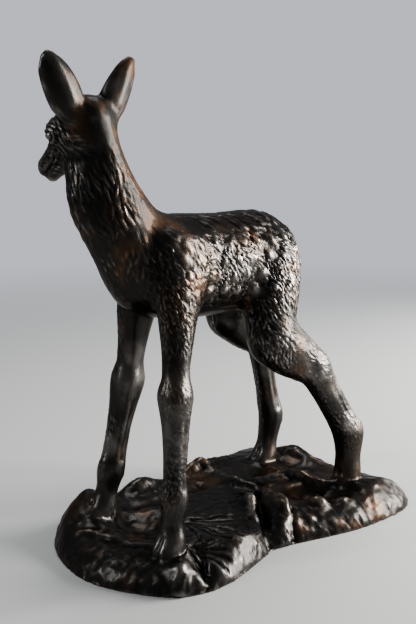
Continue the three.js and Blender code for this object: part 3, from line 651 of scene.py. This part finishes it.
def resurfaced():
    """The solid's surface in small even faces, smoothed, with its legs rounded.

    Gives the mesh, its points, normals and edges, and two shares from 0 to 1: how far each place
    is held at the ground, and how far it is on a leg.
    """
    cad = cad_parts["fawn_statue"]
    mesh = with_modifier(cad.data.copy(), "REMESH", mode="VOXEL", voxel_size=VOXEL)
    points = mesh_points(mesh)
    edges = mesh_edges(mesh)
    held = 1 - smoothstep(*GROUND_EDGE, points[:, 2])
    points = smoothed(points, edges, SMOOTH_ROUNDS, held)
    on_legs = smoothstep(*LEG_FOOT, points[:, 2] - SOLE_HEIGHT) * (
        1 - smoothstep(*LEG_TOP, points[:, 2] - SOLE_HEIGHT))
    degree = np.bincount(edges.ravel(), minlength=len(points)).astype(float)
    for _ in range(ROUNDING_ROUNDS):
        mean = neighbour_mean(points, edges, degree)
        points += ROUNDING_SHARE * on_legs[:, None] * (mean - points)
    set_points(mesh, points)
    normals = mesh_normals(mesh)
    points += on_legs[:, None] * ROUNDING_GIVEN_BACK * normals
    return mesh, points, normals, edges, held, on_legs


# Where the fawn ends and the rocks begin: by height at the hooves, and around each lower leg.
SOLE_BLEND = (-4 * MM, 10 * MM)
HOOF_TOP = 30 * MM
HOOF_REACH = (20 * MM, 30 * MM)

# How much each kind of relief counts. Rises and depths are in mm.
FUR_GAPS = (-0.45, 0.3)
FUR_GAP_SIZE = 30 * MM
FUR_LEAST = 0.45
FUR_LOST_ON_SKIN = 0.93
FUR_LOST_ON_SPOTS = 0.6
FUR_SUNK = 0.4
SWELL, SWELL_SIZE = 0.8, 24 * MM
SPOT_RISE = 0.9
SPOT_GROOVE_DEPTH = 0.7
SLANT_DEPTH = 1.5

# How the patina wears: how proud a place stands, the ears, and the hooves' rim on the rocks, then the
# painted highlights on the legs.
PROUD = (0.15 * MM, 0.9 * MM)
SUNK = (0.05 * MM, 0.6 * MM)
EARS_ABOVE = (28 * MM, 36 * MM)
EARS_AHEAD = (-2 * MM, 6 * MM)
EARS_SPARED = 0.8
RIM_HEIGHT, RIM_REACH = 7 * MM, 35 * MM
ROCKS_WORN = 0.5
NAPE_SPARED = 0.7
SPOTS_WORN = 0.4
# Painted highlights, lighter metal in patches on the legs and around each knee, hock and hoof.
PAINTED_LEG_HIGHLIGHT = 0.4
LEG_HIGHLIGHT_FADE = (-0.1, 0.5)
LEG_HIGHLIGHT_SIZE = 30 * MM
PAINTED_JOINT_HIGHLIGHT, JOINT_REACH = 0.6, 26 * MM


def casting():
    """The fawn and its mound with all their relief, and on each place the wear of the patina and the
    painted highlights on the legs.
    """
    mesh, points, normals, edges, held, on_legs = resurfaced()
    leg_distance = np.full(len(points), FAR)
    for leg in ALL_LEGS:
        leg_distance = np.minimum(leg_distance, segment_distance(points, leg[-2], leg[-1]))
    above = points[:, 2] - SOLE_HEIGHT
    on_fawn = smoothstep(*SOLE_BLEND, above) * np.where(
        above > HOOF_TOP, 1, 1 - smoothstep(*HOOF_REACH, leg_distance))
    flow, tufts = fur_at(points, normals)
    spots, round_spots = spot_relief(points)
    patches = FUR_LEAST + (1 - FUR_LEAST) * smoothstep(*FUR_GAPS, noise(points, FUR_GAP_SIZE, 3))
    amount = on_fawn * (1 - FUR_LOST_ON_SKIN * smooth_places(points, normals))
    amount = amount * (1 - FUR_LOST_ON_SPOTS * spots) * patches
    fur = tuft_relief(points, normals, flow, tufts, amount)
    rocks = rock_relief(points, normals) * (1 - on_fawn) * (1 - held)
    marks = SWELL * noise(points, SWELL_SIZE, 5) + SPOT_RISE * spots
    marks -= SPOT_GROOVE_DEPTH * round_spots + SLANT_DEPTH * back_grooves(points)
    lift = fur - FUR_SUNK * tufts[:, 2] * amount + rocks
    lift += (marks * MM + face_relief(points) + leg_relief(points)) * on_fawn
    nape = at_nape(points, normals)
    points = points + normals * lift[:, None]
    set_points(mesh, points)

    proud = standing_proud(points, mesh_normals(mesh), edges)
    ears = smoothstep(*EARS_ABOVE, (points - SKULL) @ CROWN) * on_fawn
    ears *= 1 - smoothstep(*EARS_AHEAD, (points - SKULL) @ MUZZLE)
    bright_metal = smoothstep(*PROUD, proud) * (1 - EARS_SPARED * ears)
    bright_metal *= 1 - np.exp(-(above / RIM_HEIGHT) ** 2) * (leg_distance < RIM_REACH)
    bright_metal *= (ROCKS_WORN + (1 - ROCKS_WORN) * on_fawn) * (1 - NAPE_SPARED * nape)
    bright_metal = np.maximum(bright_metal, SPOTS_WORN * spots * on_fawn)
    # Painted highlights: lighter metal in patches on the legs and around each knee, hock and hoof.
    painted_leg_highlights = PAINTED_LEG_HIGHLIGHT * smoothstep(*LEG_HIGHLIGHT_FADE, noise(points, LEG_HIGHLIGHT_SIZE, 51)) * on_legs
    for leg in ALL_LEGS:
        for place in (leg[-3], leg[-1]):  # the knee or hock, and the hoof
            away = np.linalg.norm(points - place, axis=1)
            painted_leg_highlights = np.maximum(painted_leg_highlights, PAINTED_JOINT_HIGHLIGHT * np.exp(-(away / JOINT_REACH) ** 2))
    # The patina's wear and the painted highlights, kept as one number.
    keep_number(mesh, "wear_and_painted_highlight", np.maximum(bright_metal, painted_leg_highlights * on_fawn))
    keep_number(mesh, "matt", nape)
    keep_number(mesh, "sunk", smoothstep(*SUNK, -proud))

    share = TRIANGLES / (2 * len(mesh.polygons))
    light = with_modifier(mesh, "DECIMATE", ratio=share, use_collapse_triangulate=True)
    light.shade_smooth()
    obj = bpy.data.objects.new("fawn_casting", light)
    bpy.context.scene.collection.objects.link(obj)
    return obj


# The patina: its colours, and how it answers to light.
DARK = (0.027, 0.025, 0.023)
PIT = (0.008, 0.007, 0.006)
SILVER = (0.33, 0.305, 0.285)
COPPER = (0.33, 0.235, 0.17)
BROWN = (0.075, 0.043, 0.026)
METALLIC = 0.85
EDGE_TINT = (0.5, 0.48, 0.465, 1)
COAT = 0.12
COAT_ROUGHNESS = 0.15
DARK_ROUGHNESS, WEAR_AND_HIGHLIGHT_ROUGHNESS = 0.33, 0.26
MATT_ADDS = 0.24

# Its clouds: size in metres and detail, then where each fades in, and its least and most. The last
# is the grain of the cast skin.
WEAR_AND_HIGHLIGHT_CLOUD, WEAR_AND_HIGHLIGHT_FADE = (0.045, 3), (0.36, 0.62, 0.25, 1.0)
BROWN_CLOUD, BROWN_FADE = (0.06, 4), (0.54, 0.7, 0.0, 0.85)
MATT_CLOUD, MATT_FADE = (0.03, 3), (0.42, 0.6, 0.0, 0.9)
COPPER_CLOUD, COPPER_FADE = (0.11, 2), (0.48, 0.66, 0.0, 1.0)
SKIN_CLOUD = (0.0016, 2)
CLOUD_ROUGHNESS = 0.55
SKIN_DEPTH = 0.0006
SKIN_STRENGTH = 0.35


def fade(nodes, links, value, lo, hi, low=0.0, high=1.0):
    """A value that goes smoothly from low to high while the given one goes from lo to hi."""
    spread = nodes.new("ShaderNodeMapRange")
    spread.interpolation_type = "SMOOTHSTEP"
    for name, number in (("From Min", lo), ("From Max", hi), ("To Min", low), ("To Max", high)):
        spread.inputs[name].default_value = number
    links.new(value, spread.inputs["Value"])
    return spread.outputs["Result"]


def patinated_aluminium():
    """Dark glossy patina, its wear showing bright metal where the casting stands proud, with painted
    highlights on the legs, brown in patches.
    """
    material = bpy.data.materials.new("glossy_patina")
    material.use_nodes = True
    nodes, links = material.node_tree.nodes, material.node_tree.links
    shader = nodes["Principled BSDF"]
    shader.inputs["Metallic"].default_value = METALLIC
    shader.inputs["Specular Tint"].default_value = EDGE_TINT
    shader.inputs["Coat Weight"].default_value = COAT
    shader.inputs["Coat Roughness"].default_value = COAT_ROUGHNESS
    place = nodes.new("ShaderNodeTexCoord").outputs["Object"]

    def cloud(size, detail):
        texture = nodes.new("ShaderNodeTexNoise")
        texture.inputs["Scale"].default_value = 1 / size
        texture.inputs["Detail"].default_value = detail
        texture.inputs["Roughness"].default_value = CLOUD_ROUGHNESS
        links.new(place, texture.inputs["Vector"])
        return texture.outputs["Fac"]

    def combined(operation, a, b):
        result = nodes.new("ShaderNodeMath")
        result.operation = operation
        links.new(a, result.inputs[0])
        links.new(b, result.inputs[1])
        return result.outputs["Value"]

    def blend(share, a, b):
        mixer = nodes.new("ShaderNodeMix")
        mixer.data_type = "RGBA"
        links.new(share, mixer.inputs["Factor"])
        for socket, colour in ((mixer.inputs["A"], a), (mixer.inputs["B"], b)):
            if isinstance(colour, tuple):
                socket.default_value = (*colour, 1)
            else:
                links.new(colour, socket)
        return mixer.outputs["Result"]

    def kept(name):
        attribute = nodes.new("ShaderNodeAttribute")
        attribute.attribute_name = name
        return attribute.outputs["Fac"]

    # Bright metal where the patina's wear shows, together with the painted highlights on the legs,
    # broken up by a cloud.
    wear_and_painted_highlight = combined("MULTIPLY", kept("wear_and_painted_highlight"), fade(nodes, links, cloud(*WEAR_AND_HIGHLIGHT_CLOUD), *WEAR_AND_HIGHLIGHT_FADE))
    brown = fade(nodes, links, cloud(*BROWN_CLOUD), *BROWN_FADE)
    matt = combined("MULTIPLY", kept("matt"), fade(nodes, links, cloud(*MATT_CLOUD), *MATT_FADE))
    ground = blend(kept("sunk"), blend(matt, blend(brown, DARK, BROWN), BROWN), PIT)
    # The bright metal colour, silver with copper in patches, for the wear and for the painted
    # highlights.
    bright_metal = blend(fade(nodes, links, cloud(*COPPER_CLOUD), *COPPER_FADE), SILVER, COPPER)
    links.new(blend(wear_and_painted_highlight, ground, bright_metal), shader.inputs["Base Color"])
    gloss = fade(nodes, links, wear_and_painted_highlight, 0, 1, DARK_ROUGHNESS, WEAR_AND_HIGHLIGHT_ROUGHNESS)
    satin = fade(nodes, links, kept("matt"), 0, 1, 0, MATT_ADDS)
    links.new(combined("ADD", gloss, satin), shader.inputs["Roughness"])
    bump = nodes.new("ShaderNodeBump")
    bump.inputs["Strength"].default_value = SKIN_STRENGTH
    bump.inputs["Distance"].default_value = SKIN_DEPTH
    links.new(cloud(*SKIN_CLOUD), bump.inputs["Height"])
    links.new(bump.outputs["Normal"], shader.inputs["Normal"])
    return material


# The floor, and how far from the casting it begins to fade and is gone, in metres.
FLOOR_COLOUR = (0.5, 0.5, 0.49, 1)
FLOOR_ROUGHNESS = 0.9
FLOOR_REACH = 3.0
FLOOR_FADE = (0.7, 2.6)

# The room: the way to its bright side, where it fades from dim to bright and the strength of each,
# and the strength of the plain wall that the camera sees. The lamps: place, target, size, power and
# colour.
BRIGHT_WAY = (0.95, 0.3, 0.0)
ROOM_FADE = (-0.5, 0.9, 0.18, 0.36)
WALL_STRENGTH = 0.6
ROOM_COLOUR = (0.9, 0.93, 1, 1)
LAMP_TARGET = (0, 0, 0.3)
LAMPS = {
    "window": ((1.4, -0.95, 0.68), LAMP_TARGET, (0.9, 1.05), 84, (1, 0.99, 0.97)),
    "low_window": ((1.7, 0.1, 0.3), (0, 0, 0.2), (0.6, 0.6), 9, (1, 0.99, 0.97)),
    "sky": ((0.5, 0.6, 1.9), LAMP_TARGET, (0.9, 0.9), 12, (0.97, 0.99, 1)),
    "far_window": ((-1.5, 0.6, 1.1), LAMP_TARGET, (0.3, 1.0), 10, (0.97, 0.99, 1)),
}


def fading_floor():
    """A matt pale floor that is gone a few paces from the casting."""
    material = bpy.data.materials.new("pale_floor")
    material.use_nodes = True
    nodes, links = material.node_tree.nodes, material.node_tree.links
    shader = nodes["Principled BSDF"]
    shader.inputs["Base Color"].default_value = FLOOR_COLOUR
    shader.inputs["Roughness"].default_value = FLOOR_ROUGHNESS
    away = nodes.new("ShaderNodeVectorMath")
    away.operation = "LENGTH"
    links.new(nodes.new("ShaderNodeTexCoord").outputs["Object"], away.inputs[0])
    mixer = nodes.new("ShaderNodeMixShader")
    links.new(fade(nodes, links, away.outputs["Value"], *FLOOR_FADE), mixer.inputs[0])
    links.new(shader.outputs["BSDF"], mixer.inputs[1])
    links.new(nodes.new("ShaderNodeBsdfTransparent").outputs["BSDF"], mixer.inputs[2])
    links.new(mixer.outputs["Shader"], nodes["Material Output"].inputs["Surface"])
    return material


def room():
    """A plain wall to look at, while the casting reflects a dim and a bright side."""
    world = bpy.data.worlds.new("studio")
    world.use_nodes = True
    nodes, links = world.node_tree.nodes, world.node_tree.links
    towards = nodes.new("ShaderNodeVectorMath")
    towards.operation = "DOT_PRODUCT"
    towards.inputs[1].default_value = BRIGHT_WAY
    links.new(nodes.new("ShaderNodeTexCoord").outputs["Generated"], towards.inputs[0])
    plain_wall = nodes.new("ShaderNodeMix")
    links.new(nodes.new("ShaderNodeLightPath").outputs["Is Camera Ray"], plain_wall.inputs["Factor"])
    links.new(fade(nodes, links, towards.outputs["Value"], *ROOM_FADE), plain_wall.inputs["A"])
    plain_wall.inputs["B"].default_value = WALL_STRENGTH
    background = nodes["Background"]
    background.inputs["Color"].default_value = ROOM_COLOUR
    links.new(plain_wall.outputs["Result"], background.inputs["Strength"])
    return world


def studio():
    """A pale floor that fades into a pale room, and the lamps."""
    mesh = bpy.data.meshes.new("floor")
    corners = [(x * FLOOR_REACH, y * FLOOR_REACH, 0) for x, y in ((-1, -1), (1, -1), (1, 1), (-1, 1))]
    mesh.from_pydata(corners, [], [(0, 1, 2, 3)])
    floor = bpy.data.objects.new("floor", mesh)
    floor.data.materials.append(fading_floor())
    bpy.context.scene.collection.objects.link(floor)
    bpy.context.scene.world = room()
    bpy.context.scene.view_settings.look = "AgX - Medium High Contrast"
    for name, (place, target, size, power, colour) in LAMPS.items():
        data = bpy.data.lights.new(name, "AREA")
        data.shape = "RECTANGLE"
        data.size, data.size_y = size
        data.energy = power
        data.color = colour
        obj = bpy.data.objects.new(name, data)
        obj.location = place
        obj.rotation_mode = "QUATERNION"
        obj.rotation_quaternion = (Vector(target) - Vector(place)).to_track_quat("-Z", "Y")
        bpy.context.scene.collection.objects.link(obj)


# The camera of the photograph: its height and focal length in pixels, its angles in degrees and
# its place in metres.
PHOTO_HEIGHT = 624
FOCAL_PIXELS = 903
CAMERA_AZIMUTH = -44
CAMERA_PITCH = 11.2
CAMERA_PLACE = (-0.8113, -0.8041, 0.506)


def camera():
    data = bpy.data.cameras.new("camera")
    data.lens = FOCAL_PIXELS / PHOTO_HEIGHT * data.sensor_width
    obj = bpy.data.objects.new("camera", data)
    azimuth, pitch = math.radians(CAMERA_AZIMUTH), math.radians(CAMERA_PITCH)
    level = math.cos(pitch)
    ahead = Vector((-math.sin(azimuth) * level, math.cos(azimuth) * level, -math.sin(pitch)))
    obj.location = CAMERA_PLACE
    obj.rotation_mode = "QUATERNION"
    obj.rotation_quaternion = ahead.to_track_quat("-Z", "Y")
    bpy.context.scene.collection.objects.link(obj)
    bpy.context.scene.camera = obj


statue = casting()
statue.data.materials.clear()
statue.data.materials.append(patinated_aluminium())
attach(statue, "root")
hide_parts("fawn_statue")
studio()
camera()
